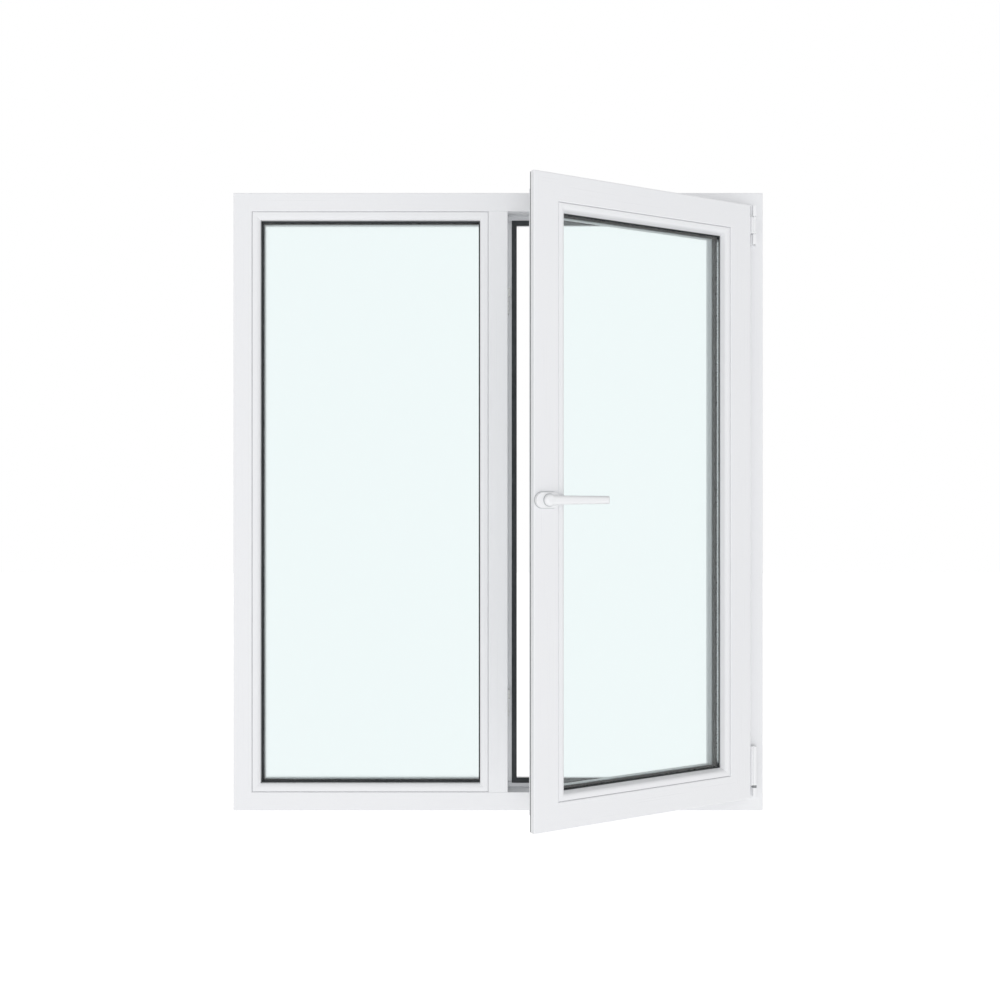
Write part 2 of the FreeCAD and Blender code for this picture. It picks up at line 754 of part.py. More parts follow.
block_half = value("barrel_radius")
stay_bearing = bearing(top_low, top_high, top_low, lower_high, block_half)
for addition in (
    bearing(top_low, top_high, upper_low, top_high, block_half),
    bearing_block(top_low, lower_high),
    bearing_block(upper_low, top_high),
    round_bar("pin_radius", top_low, top_high),
):
    stay_bearing = stay_bearing.fuse(addition)
shaped("stay_bearing", stay_bearing.removeSplitter())

# The knuckle at the end of the stay turns between the two bearing blocks.
stay_knuckle = knuckle("barrel_radius", knuckle_low, knuckle_high).fuse(leaf(knuckle_low, knuckle_high))
stay_knuckle = stay_knuckle.cut(round_bar("pin_radius + bead_fit", knuckle_low, knuckle_high))
shaped("stay_hinge", stay_knuckle.removeSplitter(), SWING)

# The stay arm lies on the top edge of the sash, from beyond the cam to the hinge side.
stay_low = value(f"{SASH_TOP} - {SASH_EDGE}")
stay_high = stay_low + value("stay_thickness")
stay_start = sash_left + cam_end + value("cam_radius + stay_cam_gap")
stay_end = value(f"{SASH_RIGHT} - {SASH_EDGE}")
stay_half = value("stay_width / 2")
stay_arm = block(stay_start, stay_end, cam_y - stay_half, cam_y + stay_half, stay_low, stay_high)
shaped("stay_arm", stay_arm, SWING)

# Corner hinge at the bottom: a long knuckle on the sash stands on a pivot cap on the frame.
pivot_low = value("bottom_hinge_rise")
pivot_high = pivot_low + value("pivot_cap_height")
corner_low = pivot_high + value("bottom_hinge_gap")
corner_high = corner_low + value("bottom_hinge_height")
socket_high = corner_low + value("collar_height")
corner_bearing = bearing(pivot_low, corner_low, pivot_low, pivot_high, value("pivot_cap_radius / 2"))
corner_bearing = corner_bearing.fuse(round_bar("pivot_cap_radius", pivot_low, pivot_high))
corner_bearing = corner_bearing.fuse(round_bar("pin_radius", pivot_low, socket_high - value("bead_fit")))
shaped("corner_bearing", corner_bearing.removeSplitter())

corner_hinge = round_bar("pivot_cap_radius", corner_low, corner_high).fuse(leaf(corner_low, corner_high))
corner_hinge = corner_hinge.cut(round_bar("pin_radius + bead_fit", corner_low, socket_high))
shaped("corner_hinge", corner_hinge.removeSplitter(), SWING)

# Handle: a plate with round ends lies level on the stile, and the lever stands on its neck.
INTO_ROOM = Vector(0, -1, 0)
handle_foot = point(f"{SASH_LEFT} + handle_axis", SASH_FRONT, "handle_height")


def flat_edges(solid, depth):
    """The edges of a solid that lie whole in one plane parallel to the window."""
    return [
        edge for edge in solid.Edges
        if abs(edge.BoundBox.YMin - depth) < SAME_PLACE and abs(edge.BoundBox.YMax - depth) < SAME_PLACE
    ]


def round_ended(length, width, height, base):
    """A flat piece with half-round ends, standing into the room on its base point."""
    end = width / 2
    straight = length / 2 - end
    upper_left, upper_right, lower_right, lower_left = [
        base + Vector(x, 0, z)
        for x, z in ((-straight, end), (straight, end), (straight, -end), (-straight, -end))
    ]
    edges = [
        Part.makeLine(upper_left, upper_right),
        Part.Arc(upper_right, base + Vector(straight + end, 0, 0), lower_right).toShape(),
        Part.makeLine(lower_right, lower_left),
        Part.Arc(lower_left, base - Vector(straight + end, 0, 0), upper_left).toShape(),
    ]
    return Part.Face(Part.Wire(edges)).extrude(INTO_ROOM * height)


plate_thickness = value("plate_thickness")
plate = round_ended(value("plate_length"), value("plate_width"), plate_thickness, handle_foot)
plate = plate.makeChamfer(value("plate_chamfer"), flat_edges(plate, handle_foot.y - plate_thickness))
shaped("handle_base", plate, SWING)

# The lever's grip is a tapered bar with a softly domed face, joined to a round hub over the neck.
neck_foot = handle_foot + INTO_ROOM * plate_thickness
neck = Part.makeCylinder(value("neck_radius"), value("neck_height"), neck_foot, INTO_ROOM)
grip_back = neck_foot + INTO_ROOM * value("neck_height")
grip_thickness = value("lever_thickness")
root_half = value("lever_width / 2")
tip_half = value("lever_tip_width / 2")
reach = value("lever_reach")
bar_outline = [(0, root_half), (reach, tip_half), (reach, -tip_half), (0, -root_half), (0, root_half)]
bar_wire = Part.makePolygon([grip_back + Vector(x, 0, z) for x, z in bar_outline])
bar = Part.Face(bar_wire).extrude(INTO_ROOM * grip_thickness)
tip_start = grip_back.x + reach - SAME_PLACE
tip_edges = [
    edge for edge in bar.Edges
    if edge.BoundBox.XMin > tip_start and edge.BoundBox.ZLength < SAME_PLACE
]
bar = bar.makeFillet(value("lever_tip_round"), tip_edges)
hub = Part.makeCylinder(value("hub_radius"), grip_thickness, grip_back, INTO_ROOM)
grip = bar.fuse(hub).removeSplitter()
grip = grip.makeFillet(value("lever_round"), flat_edges(grip, grip_back.y - grip_thickness))
shaped("handle_lever", neck.fuse(grip).removeSplitter(), SWING)

# Drainage caps cover the slots in the outside face of the sill.
cap_foot_y = value("profile_depth / 2 + cap_thickness")
cap_end = value("window_width / 2 - cap_end_distance")
cap_size = (value("cap_length"), value("cap_height"), value("cap_thickness"))
drain_caps = [
    round_ended(*cap_size, Vector(x, cap_foot_y, value("cap_rise"))) for x in (-cap_end, cap_end)
]
shaped("drain_caps", Part.makeCompound(drain_caps))

doc.recompute()

bodies = [item for item in doc.Objects if item.TypeId == "PartDesign::Body"]
features = [
    item for item in doc.Objects
    if item.TypeId == "Part::Feature" and item.getParentGeoFeatureGroup() is None
]
for item in doc.Objects:
    if "Invalid" in item.State or "Error" in item.State:
        raise RuntimeError(f"{item.Label} failed to build")
pieces = bodies + features
for item in pieces:
    if item.Shape.isNull() or not item.Shape.isValid():
        raise RuntimeError(f"{item.Label} has no valid shape")

os.makedirs("parts", exist_ok=True)
for item in pieces:
    item.Shape.exportStep(f"parts/{item.Label}.step")
    box = item.Shape.BoundBox
    corners = (box.XMin, box.YMin, box.ZMin, box.XMax, box.YMax, box.ZMax)
    box_text = " ".join(f"{place:.1f}" for place in corners)
    print(item.Label, len(item.Shape.Solids), round(item.Shape.Volume), box_text)
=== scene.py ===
# %% [markdown]
# # A white tilt and turn window
# The construction model already holds every profile, pane, seal and hinge at its real size. This
# lesson dresses it: each surface gets the finish of its real material, and the small things that
# a workshop fits last, such as screws, bushes and spacer bars, are modelled on top. All lengths
# are metres, X runs right, Y runs to the outside and Z runs up.

# %% Load the construction model
import math

import bmesh
import bpy
from mathutils import Matrix, Vector


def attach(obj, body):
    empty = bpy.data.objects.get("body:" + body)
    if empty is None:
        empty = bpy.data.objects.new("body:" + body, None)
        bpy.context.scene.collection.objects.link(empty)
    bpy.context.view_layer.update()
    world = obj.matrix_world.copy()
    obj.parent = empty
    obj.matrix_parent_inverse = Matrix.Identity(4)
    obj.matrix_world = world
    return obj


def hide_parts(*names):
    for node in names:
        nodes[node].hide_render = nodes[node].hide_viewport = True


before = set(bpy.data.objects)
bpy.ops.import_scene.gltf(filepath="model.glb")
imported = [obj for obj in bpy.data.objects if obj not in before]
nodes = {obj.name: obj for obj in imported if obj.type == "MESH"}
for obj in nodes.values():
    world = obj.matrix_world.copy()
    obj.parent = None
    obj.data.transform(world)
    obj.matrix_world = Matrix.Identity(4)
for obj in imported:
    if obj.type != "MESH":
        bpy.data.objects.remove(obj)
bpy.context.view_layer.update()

# %% [markdown]
# ## Small tools
# Colours are written as the sRGB hex values that a paint chart would give, and one function turns
# them into the linear numbers that shaders need. One more function adds a node, sets it up and
# joins it to others, so that a material reads as a short recipe.

# %% Colour and node helpers
MM = 0.001


def linear(hex_colour):
    """The linear colour of an sRGB hex value, with full alpha."""
    channels = [int(hex_colour[start:start + 2], 16) / 255 for start in (1, 3, 5)]
    red, green, blue = [
        level / 12.92 if level <= 0.04045 else ((level + 0.055) / 1.055) ** 2.4
        for level in channels
    ]
    return red, green, blue, 1.0


def add(tree, kind, inputs, **settings):
    """A new node with its settings. Each input is a plain value or another node's output."""
    node = tree.nodes.new(kind)
    for name, setting in settings.items():
        setattr(node, name, setting)
    for socket, source in inputs.items():
        if isinstance(source, bpy.types.NodeSocket):
            tree.links.new(source, node.inputs[socket])
        else:
            node.inputs[socket].default_value = source
    return node


def start_material(name, **constants):
    """A material, its node tree, its shader with constant sockets set, and Object coordinates."""
    material = bpy.data.materials.new(name)
    material.use_nodes = True
    tree = material.node_tree
    shader = tree.nodes["Principled BSDF"]
    for socket, number in constants.items():
        shader.inputs[socket.replace("_", " ")].default_value = number
    place = add(tree, "ShaderNodeTexCoord", {}).outputs["Object"]
    return material, tree, shader, place


# %% [markdown]
# ## White PVC-U
# The profiles are extruded: soft plastic is pushed through a steel die and cooled as it moves.
# The die leaves very fine straight lines along the length, and the cooling leaves a soft orange
# peel. The surface is smooth with a satin gloss, and light enters it a little before it comes
# back. So the recipe is a cool white, a roughness near 0.3 that wanders slightly, and two bumps:
# one stretched along the profile and one even. The real die lines are finer than a hair, so they
# are drawn a little coarser than life. The sash is turned in plan, so its level rails need the
# stretch turned with them.

# %% PVC-U along any direction
SWING = math.radians(26.4)
DIE_LINE_SPACING = 1.2 * MM
PEEL_SIZE = 6 * MM
DIE_STRETCH = 0.004


def pvc_white(name, along, turn=0.0):
    """Extruded white PVC-U with die lines along one axis, which can be turned about Z."""
    material, tree, shader, place = start_material(name, IOR=1.53)
    turned = add(
        tree, "ShaderNodeMapping", {"Vector": place, "Rotation": (0, 0, -turn)},
    ).outputs[0]
    stretch = [DIE_STRETCH if axis == along else 1.0 for axis in "XYZ"]
    drawn = add(tree, "ShaderNodeMapping", {"Vector": turned, "Scale": stretch}).outputs[0]
    lines = add(
        tree, "ShaderNodeTexNoise",
        {"Vector": drawn, "Scale": 1 / DIE_LINE_SPACING, "Detail": 3.0, "Roughness": 0.6},
    ).outputs["Fac"]
    peel = add(
        tree, "ShaderNodeTexNoise",
        {"Vector": place, "Scale": 1 / PEEL_SIZE, "Detail": 2.0, "Roughness": 0.45},
    ).outputs["Fac"]
    shade = add(
        tree, "ShaderNodeTexNoise",
        {"Vector": place, "Scale": 3.0, "Detail": 2.0, "Roughness": 0.5},
    ).outputs["Fac"]
    colour = add(
        tree, "ShaderNodeMix",
        {"Factor": shade, "A": linear("#ECEDF0"), "B": linear("#F0F1F3")},
        data_type="RGBA",
    )
    tree.links.new(colour.outputs["Result"], shader.inputs["Base Color"])
    gloss = add(
        tree, "ShaderNodeMapRange",
        {"Value": lines, "From Min": 0.3, "From Max": 0.7, "To Min": 0.26, "To Max": 0.36},
    ).outputs["Result"]
    tree.links.new(gloss, shader.inputs["Roughness"])
    fine = add(tree, "ShaderNodeBump", {"Height": lines, "Strength": 0.05, "Distance": 0.05 * MM})
    soft = add(
        tree, "ShaderNodeBump",
        {"Height": peel, "Strength": 0.12, "Distance": 0.1 * MM, "Normal": fine.outputs["Normal"]},
    )
    tree.links.new(soft.outputs["Normal"], shader.inputs["Normal"])
    return material


pvc_upright = pvc_white("white_pvcu_upright", "Z")
pvc_level = pvc_white("white_pvcu_level", "X")
pvc_level_sash = pvc_white("white_pvcu_level_sash", "X", SWING)
print("three runs of PVC-U: upright, level and level on the turned sash")

# %% [markdown]
# ## Clear float glass
# Float glass is poured on molten tin, so it is flat but for a very gentle waviness. Iron in it
# gives a faint green tint, which grows with thickness. A clear sheet needs full transmission, an
# index of refraction of 1.52 and no roughness. The tint of one 4 mm pane is written as its
# colour, so that two panes give the cool green of a sealed unit.

# %% Float glass
FLOAT_WAVE = 180 * MM


def float_glass():
    """Clear glass with a faint green tint and a very gentle wave."""
    material, tree, shader, place = start_material(
        "clear_float_glass", Base_Color=linear("#F7FCFC"), IOR=1.52, Roughness=0.0,
        Transmission_Weight=1.0,
    )
    waves = add(
        tree, "ShaderNodeTexNoise",
        {"Vector": place, "Scale": 1 / FLOAT_WAVE, "Detail": 1.0, "Roughness": 0.4},
    ).outputs["Fac"]
    bump = add(tree, "ShaderNodeBump", {"Height": waves, "Strength": 0.02, "Distance": 1 * MM})
    tree.links.new(bump.outputs["Normal"], shader.inputs["Normal"])
    return material


glass = float_glass()
print(glass.name, "waves", FLOAT_WAVE, "m long")

# %% [markdown]
# ## Rubber seals
# The gaskets are EPDM, a matt black rubber that is extruded like the profiles. It has a fine
# grain, and talc from its storage leaves it a little grey. Both are noise: a small one for the
# grain and a large one for the talc.

# %% EPDM rubber
GRAIN = 0.8 * MM
TALC_PATCH = 60 * MM


def epdm_rubber():
    """Matt black rubber with a fine grain and patches of talc."""
    material, tree, shader, place = start_material(
        "black_epdm_rubber", IOR=1.5, Specular_IOR_Level=0.3,
    )
    grain = add(
        tree, "ShaderNodeTexNoise",
        {"Vector": place, "Scale": 1 / GRAIN, "Detail": 4.0, "Roughness": 0.6},
    ).outputs["Fac"]
    talc = add(
        tree, "ShaderNodeTexNoise",
        {"Vector": place, "Scale": 1 / TALC_PATCH, "Detail": 4.0, "Roughness": 0.6},
    ).outputs["Fac"]
    colour = add(
        tree, "ShaderNodeMix",
        {"Factor": talc, "A": linear("#323537"), "B": linear("#484B4D")},
        data_type="RGBA",
    )
    tree.links.new(colour.outputs["Result"], shader.inputs["Base Color"])
    rough = add(
        tree, "ShaderNodeMapRange", {"Value": grain, "To Min": 0.55, "To Max": 0.8},
    ).outputs["Result"]
    tree.links.new(rough, shader.inputs["Roughness"])
    bump = add(tree, "ShaderNodeBump", {"Height": grain, "Strength": 0.3, "Distance": 0.1 * MM})
    tree.links.new(bump.outputs["Normal"], shader.inputs["Normal"])
    return material


rubber = epdm_rubber()
print(rubber.name, "grain", GRAIN, "m")

# %% [markdown]
# ## Spacer bar
# The bar that holds the two panes apart is a thin folded aluminium profile, bright as it comes
# from the rolls. A row of small holes lets the drying grains inside reach the air between the
# panes. The holes repeat along the bar. The sum of the place along the level bars and the height
# serves for level and upright bars alike, because each bar changes only one of them.

# %% Bright aluminium with a row of holes
HOLE_SPACING = 6 * MM
HOLE_SIZE = 1.2 * MM
ROLL_STREAK = 3 * MM


def spacer_metal(name, turn, middle):
    """Folded aluminium. Its holes lie in a row at a given depth of the turned light."""
    material, tree, shader, place = start_material(name, Metallic=1.0)
    closed = add(
        tree, "ShaderNodeMapping", {"Vector": place, "Rotation": (0, 0, -turn)},
    ).outputs[0]
    along = add(
        tree, "ShaderNodeVectorMath", {0: closed, 1: (1.0, 0.0, 1.0)}, operation="DOT_PRODUCT",
    ).outputs["Value"]
    depth = add(
        tree, "ShaderNodeVectorMath", {0: closed, 1: (0.0, 1.0, 0.0)}, operation="DOT_PRODUCT",
    ).outputs["Value"]
    step = add(
        tree, "ShaderNodeMath", {0: along, 1: HOLE_SPACING / 2}, operation="PINGPONG",
    ).outputs[0]
    near = add(
        tree, "ShaderNodeMath", {0: step, 1: HOLE_SIZE / 2}, operation="LESS_THAN",
    ).outputs[0]
    row = add(
        tree, "ShaderNodeMath", {0: depth, 1: middle, 2: HOLE_SIZE / 2}, operation="COMPARE",
    ).outputs[0]
    hole = add(tree, "ShaderNodeMath", {0: near, 1: row}, operation="MULTIPLY").outputs[0]
    colour = add(
        tree, "ShaderNodeMix",
        {"Factor": hole, "A": linear("#F1F2F3"), "B": linear("#4C4E4F")},
        data_type="RGBA",
    )
    tree.links.new(colour.outputs["Result"], shader.inputs["Base Color"])
    streak = add(
        tree, "ShaderNodeTexNoise",
        {"Vector": place, "Scale": 1 / ROLL_STREAK, "Detail": 3.0, "Roughness": 0.5},
    ).outputs["Fac"]
    rough = add(
        tree, "ShaderNodeMapRange", {"Value": streak, "To Min": 0.22, "To Max": 0.34},
    ).outputs["Result"]
    tree.links.new(rough, shader.inputs["Roughness"])
    bump = add(tree, "ShaderNodeBump", {"Height": streak, "Strength": 0.1, "Distance": 0.05 * MM})
    tree.links.new(bump.outputs["Normal"], shader.inputs["Normal"])
    return material


# %% [markdown]
# ## Metal
# The fittings are zinc plated steel, whose plating shows soft patches under a clear passivated
# film. Hinges and handle are white: powder coat on metal has a tiny orange peel.

# %% Zinc plated steel and powder coat
PLATING_PATCH = 5 * MM
PLATING_STREAK = 2 * MM
PAINT_PEEL = 1.6 * MM


def zinc_steel():
    """Steel with soft patches of plating and a finely streaked gloss."""
    material, tree, shader, place = start_material("zinc_plated_steel", Metallic=1.0)
    patches = add(
        tree, "ShaderNodeTexVoronoi", {"Vector": place, "Scale": 1 / PLATING_PATCH},
    ).outputs["Distance"]
    streaks = add(
        tree, "ShaderNodeTexNoise",
        {"Vector": place, "Scale": 1 / PLATING_STREAK, "Detail": 4.0, "Roughness": 0.6},
    ).outputs["Fac"]
    colour = add(
        tree, "ShaderNodeMix",
        {"Factor": patches, "A": linear("#C9CBCA"), "B": linear("#B7B9B8")},
        data_type="RGBA",
    )
    tree.links.new(colour.outputs["Result"], shader.inputs["Base Color"])
    rough = add(
        tree, "ShaderNodeMapRange", {"Value": streaks, "To Min": 0.24, "To Max": 0.42},
    ).outputs["Result"]
    tree.links.new(rough, shader.inputs["Roughness"])
    bump = add(tree, "ShaderNodeBump", {"Height": streaks, "Strength": 0.1, "Distance": 0.05 * MM})
    tree.links.new(bump.outputs["Normal"], shader.inputs["Normal"])
    return material


def powder_coat():
    """White paint melted on from powder, with a tiny orange peel."""
    material, tree, shader, place = start_material("white_powder_coat", IOR=1.5)
    peel = add(
        tree, "ShaderNodeTexNoise",
        {"Vector": place, "Scale": 1 / PAINT_PEEL, "Detail": 2.0, "Roughness": 0.5},
    ).outputs["Fac"]
    colour = add(
        tree, "ShaderNodeMix",
        {"Factor": peel, "A": linear("#EFF0F2"), "B": linear("#F2F3F5")},
        data_type="RGBA",
    )
    tree.links.new(colour.outputs["Result"], shader.inputs["Base Color"])
    rough = add(
        tree, "ShaderNodeMapRange", {"Value": peel, "To Min": 0.25, "To Max": 0.36},
    ).outputs["Result"]
    tree.links.new(rough, shader.inputs["Roughness"])
    bump = add(tree, "ShaderNodeBump", {"Height": peel, "Strength": 0.15, "Distance": 0.08 * MM})
    tree.links.new(bump.outputs["Normal"], shader.inputs["Normal"])
    return material


steel = zinc_steel()
white_metal = powder_coat()
print("metal finishes:", steel.name, "and", white_metal.name)

# %% [markdown]
# ## Moulded grey plastic and painted shade
# The rim under the handle, the ring round its foot and the bush in the lower hinge are small
# moulded parts, and their greys also paint shade: the rim and the ring paint the shade line round
# the handle's plate and grip, and the bush paints the shade in the hinge's gap. The darkest grey
# is painted shade only, in the vents of the drainage caps. A mould leaves a fine even texture,
# like very fine sandpaper.

# %% Moulded plastic in greys that also paint shade
MOULD_GRAIN = 0.4 * MM


def moulded_plastic(name, hex_colour):
    """Matt plastic of one colour with the fine texture of its mould."""
    material, tree, shader, place = start_material(name, Base_Color=linear(hex_colour), IOR=1.49)
    grain = add(
        tree, "ShaderNodeTexNoise",
        {"Vector": place, "Scale": 1 / MOULD_GRAIN, "Detail": 2.0, "Roughness": 0.5},
    ).outputs["Fac"]
    rough = add(
        tree, "ShaderNodeMapRange", {"Value": grain, "To Min": 0.42, "To Max": 0.6},
    ).outputs["Result"]
    tree.links.new(rough, shader.inputs["Roughness"])
    bump = add(tree, "ShaderNodeBump", {"Height": grain, "Strength": 0.2, "Distance": 0.05 * MM})
    tree.links.new(bump.outputs["Normal"], shader.inputs["Normal"])
    return material


# Pale grey: the spacer's own colour, and painted shade as the rim and ring of the handle.
pale_plastic_and_shade_rims = moulded_plastic("pale_grey_plastic_and_painted_shade_rims", "#BFC2C4")
# Mid grey: the bush's plastic, darkened to paint the shade in the hinge's gap.
grey_plastic = moulded_plastic("mid_grey_plastic_and_painted_gap_shade", "#8C8F91")
# Darkest grey: painted shade inside the open vents of the drainage caps.
vent_shade_paint = moulded_plastic("painted_vent_shade", "#4A4C4E")
print("moulded plastics:", pale_plastic_and_shade_rims.name, grey_plastic.name, vent_shade_paint.name)

# %% [markdown]
# ## Who wears what
# Each construction node keeps its mesh and only gets a material. Its name says which one.

# %% Give every node its material


def finish_for(name):
    """The material that a construction node wears."""
    if "glass" in name:
        return glass
    if "gasket" in name or name.endswith("_seal"):
        return rubber
    if "spacer" in name:
        return pale_plastic_and_shade_rims
    if name.startswith("lock_rail") or name in ("locking_cams", "striker_plates", "stay_arm"):
        return steel
    if name.startswith(("stay_", "corner_", "handle_")):
        return white_metal
    if not name.endswith(("_top", "_bottom", "_head", "_sill", "_rail", "_caps")):
        return pvc_upright
    return pvc_level_sash if name.startswith("sash") else pvc_level


for name, node in nodes.items():
    node.data.materials.clear()
    node.data.materials.append(finish_for(name))
    print(name, "wears", node.data.materials[0].name)

# %% [markdown]
# ## Pieces on the turned sash
# It is easiest to place a piece where the sash would have it when closed, and then to turn it
# open about the hinge line. One matrix does that for every piece. Each piece is shaped standing
# on the origin with its top along Z, and a second helper stands it on its spot.

# %% Helpers for new pieces
HINGE_LINE = Vector((576.5 * MM, -51.2 * MM, 0.0))
OPEN_SASH = (
    Matrix.Translation(HINGE_LINE)
    @ Matrix.Rotation(SWING, 4, "Z")
    @ Matrix.Translation(-HINGE_LINE)
)
INTO_ROOM = Vector((0, -1, 0))
OUTSIDE = Vector((0, 1, 0))
UP = Vector((0, 0, 1))
RIGHT = Vector((1, 0, 0))


def stand(builder, spot, outward):
    """Moves a shape made on the origin to its spot, with its top facing outward."""
    turn = UP.rotation_difference(outward).to_matrix().to_4x4()
    bmesh.ops.transform(builder, matrix=Matrix.Translation(spot) @ turn, verts=builder.verts)


def join(builders):
    """Several shapes in one."""
    together = bmesh.new()
    for builder in builders:
        part = bpy.data.meshes.new("part")
        builder.to_mesh(part)
        builder.free()
        together.from_mesh(part)
        bpy.data.meshes.remove(part)
    return together


def make_piece(name, builder, material, on_sash=False):
    """A finished piece that moves with the window, opened with the sash if it is on it."""
    if on_sash:
        bmesh.ops.transform(builder, matrix=OPEN_SASH, verts=builder.verts)
    bmesh.ops.recalc_face_normals(builder, faces=builder.faces)
    mesh = bpy.data.meshes.new(name)
    builder.to_mesh(mesh)
    builder.free()
    mesh.materials.append(material)
    piece = bpy.data.objects.new(name, mesh)
    bpy.context.scene.collection.objects.link(piece)
    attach(piece, "root")
    print(name, "has", len(mesh.polygons), "faces")
    return piece


# %% [markdown]
# ## Softly rounded beads
# A snap-in glazing bead is an extruded strip too. Beside the profile it is flat, and then it bends
# down in one wide curve to a slim nose over the gasket, which is softer than the chamfer of the
# construction solid. The section is laid out as straight lines between a few corners, and a bevel
# on three of them makes the curves. It is then extruded to the length of one side, and both ends
# are cut at 45 degrees by sliding each point along by its distance from the profile. A quarter
# turn each gives the four sides. Sizes are in millimetres, first from the profile's edge and then
# from its room face.

# %% Section of a bead
BEAD_SECTION = (
    (0.4, 1.0), (14.2, 1.0), (19.0, 6.2), (18.2, 16.0), (0.0, 16.0),
    (0.0, 10.7), (-3.7, 10.7), (-3.7, 7.3), (0.4, 7.3),
)
CURVE_REACH = {0: 2.5, 1: 5.6, 2: 1.0}
CURVE_STEPS = 10


def bead_strip(half_length):
    """A bead along Z with mitred ends, X away from the profile and Y to the outside."""
    builder = bmesh.new()
    corners = [
        builder.verts.new((across * MM, depth * MM, -half_length))
        for across, depth in BEAD_SECTION
    ]
    builder.faces.new(corners)
    for corner, reach in CURVE_REACH.items():
        bmesh.ops.bevel(
            builder, geom=[corners[corner]], offset=reach * MM, offset_type="OFFSET",
            segments=CURVE_STEPS, profile=0.5, affect="VERTICES", material=-1,
        )
    far_end = bmesh.ops.extrude_face_region(builder, geom=builder.faces[:])
    moved = [part for part in far_end["geom"] if isinstance(part, bmesh.types.BMVert)]
    bmesh.ops.translate(builder, verts=moved, vec=(0, 0, 2 * half_length))
    for point in builder.verts:
        point.co.z -= math.copysign(1.0, point.co.z) * point.co.x
    return builder


# %% Four beads round the fixed light
FIXED_LIGHT = {"left": -558.0, "right": -22.0, "bottom": 42.0, "top": 1358.0}
FRAME_FACE = -35.0

light_middle = Vector((
    (FIXED_LIGHT["left"] + FIXED_LIGHT["right"]) / 2, FRAME_FACE,
    (FIXED_LIGHT["bottom"] + FIXED_LIGHT["top"]) / 2,
)) * MM
half_width = (FIXED_LIGHT["right"] - FIXED_LIGHT["left"]) / 2 * MM
half_height = (FIXED_LIGHT["top"] - FIXED_LIGHT["bottom"]) / 2 * MM
for turn, side in enumerate(("left", "top", "right", "bottom")):
    reach, half_length = half_width, half_height
    if side in ("top", "bottom"):
        reach, half_length = half_height, half_width
    strip = bead_strip(half_length)
    quarter = Matrix.Rotation(math.radians(90 * turn), 4, "Y")
    place = Matrix.Translation(light_middle) @ quarter @ Matrix.Translation((-reach, 0, 0))
    bmesh.ops.transform(strip, matrix=place, verts=strip.verts)
    label = f"fixed_round_bead_{side}"
    bead = make_piece(label, strip, finish_for(label))
    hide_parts(f"fixed_bead_{side}")

# %% [markdown]
# ## Spacer bars between the panes
# A real spacer bar is slim and sits well back from the edge of the bead, so that only its light
# inner face shows when the glass is seen at a slant. A rectangle is inset by the bar's height,
# its middle is taken away, and the rim left is extruded by the space between the panes.

# %% A rectangular ring inside a light
def flat_ring(light, inset, depth, width, thickness):
    """A ring that keeps off the light's edges, from its room side to the outside."""
    left, right = light["left"] * MM + inset, light["right"] * MM - inset
    bottom, top = light["bottom"] * MM + inset, light["top"] * MM - inset
    builder = bmesh.new()
    bmesh.ops.create_grid(builder, x_segments=1, y_segments=1, size=0.5)
    size = Matrix.Diagonal((right - left, top - bottom, 1.0, 1.0))
    bmesh.ops.transform(builder, matrix=size, verts=builder.verts)
    middle = builder.faces[:]
    bmesh.ops.inset_region(
        builder, faces=middle, thickness=width, use_boundary=True, use_even_offset=True,
    )
    bmesh.ops.delete(builder, geom=middle, context="FACES_ONLY")
    rim = bmesh.ops.extrude_face_region(builder, geom=builder.faces[:])
    raised = [part for part in rim["geom"] if isinstance(part, bmesh.types.BMVert)]
    bmesh.ops.translate(builder, verts=raised, vec=(0, 0, -thickness))
    stand(builder, Vector(((left + right) / 2, depth, (bottom + top) / 2)), INTO_ROOM)
    return builder


# %% Two slim spacer bars
SASH_LIGHT = {"left": 70.5, "right": 509.5, "bottom": 90.5, "top": 1309.5}
BAR_INSET = 7.5 * MM
BAR_HEIGHT = 4.5 * MM
PANE_SPACE = 16 * MM
FIXED_BAR_DEPTH = -12 * MM
SASH_BAR_DEPTH = -29 * MM

fixed_bars = flat_ring(FIXED_LIGHT, BAR_INSET, FIXED_BAR_DEPTH, BAR_HEIGHT, PANE_SPACE)
fixed_metal = spacer_metal("aluminium_spacer", 0.0, FIXED_BAR_DEPTH + PANE_SPACE / 2)
fixed_ring = make_piece("fixed_spacer_bars", fixed_bars, fixed_metal)
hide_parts("fixed_spacer")

sash_bars = flat_ring(SASH_LIGHT, BAR_INSET, SASH_BAR_DEPTH, BAR_HEIGHT, PANE_SPACE)
sash_place = OPEN_SASH @ Vector((0, SASH_BAR_DEPTH + PANE_SPACE / 2, 0))
sash_middle = (Matrix.Rotation(-SWING, 4, "Z") @ sash_place).y
sash_metal = spacer_metal("aluminium_spacer_sash", SWING, sash_middle)
sash_ring = make_piece("sash_spacer_bars", sash_bars, sash_metal, on_sash=True)
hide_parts("sash_spacer")

# %% [markdown]
# ## Lip of the fixed gasket
# The gasket under the bead ends in a thin soft lip that lies flat on the glass and shows as a
# dark line along the bead. It has the same shape as the bars, only thinner, so the same function
# makes it.

# %% Thin rubber lip on the fixed pane
LIP_INSET = 19.6 * MM
LIP_WIDTH = 2.6 * MM
LIP_THICKNESS = 0.6 * MM
GLASS_FACE = -16 * MM

lip = flat_ring(FIXED_LIGHT, LIP_INSET, GLASS_FACE - LIP_THICKNESS, LIP_WIDTH, LIP_THICKNESS)
make_piece("fixed_gasket_lip", lip, rubber)

# %% [markdown]
# ## Rim and ring of the handle, painted shade
# The handle's plate snaps onto a thin plastic base that shows as a grey rim round it, and a guide
# ring fills the foot of the grip. Their pale grey paints the shade line that falls round the foot
# of the plate and round the grip. The rim is a circle pulled apart at its middle, which gives two
# half-round ends and straight sides between them.

